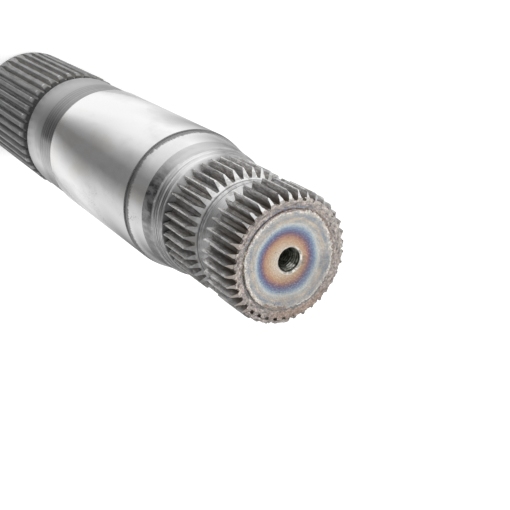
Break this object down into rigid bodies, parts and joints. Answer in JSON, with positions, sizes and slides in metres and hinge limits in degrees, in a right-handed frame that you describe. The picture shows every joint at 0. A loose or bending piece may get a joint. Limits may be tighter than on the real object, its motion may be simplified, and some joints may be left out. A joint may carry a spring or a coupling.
{
  "type": "hydraulic lift arm shaft",
  "caption": "Turned steel rockshaft with a fine split spline and clamp groove at one end, a long ground journal, and a coarse spline at the other.",
  "frame": {"origin": "centre of the flat at the coarse-splined drive end, on which the shaft stands", "axes": "+Z runs along the shaft's axis towards the lift arm end; +X runs through the middle of one gap of the arm spline"},
  "size_m": [0.06, 0.06, 0.2689],
  "materials": {
    "hardened_steel": "ground and turned bare steel, heat-tinted on the end face and blackened on the drive spline"
  },
  "bodies": {
    "root": {"lift_arm_shaft": "hardened_steel"}
  },
  "joints": []
}
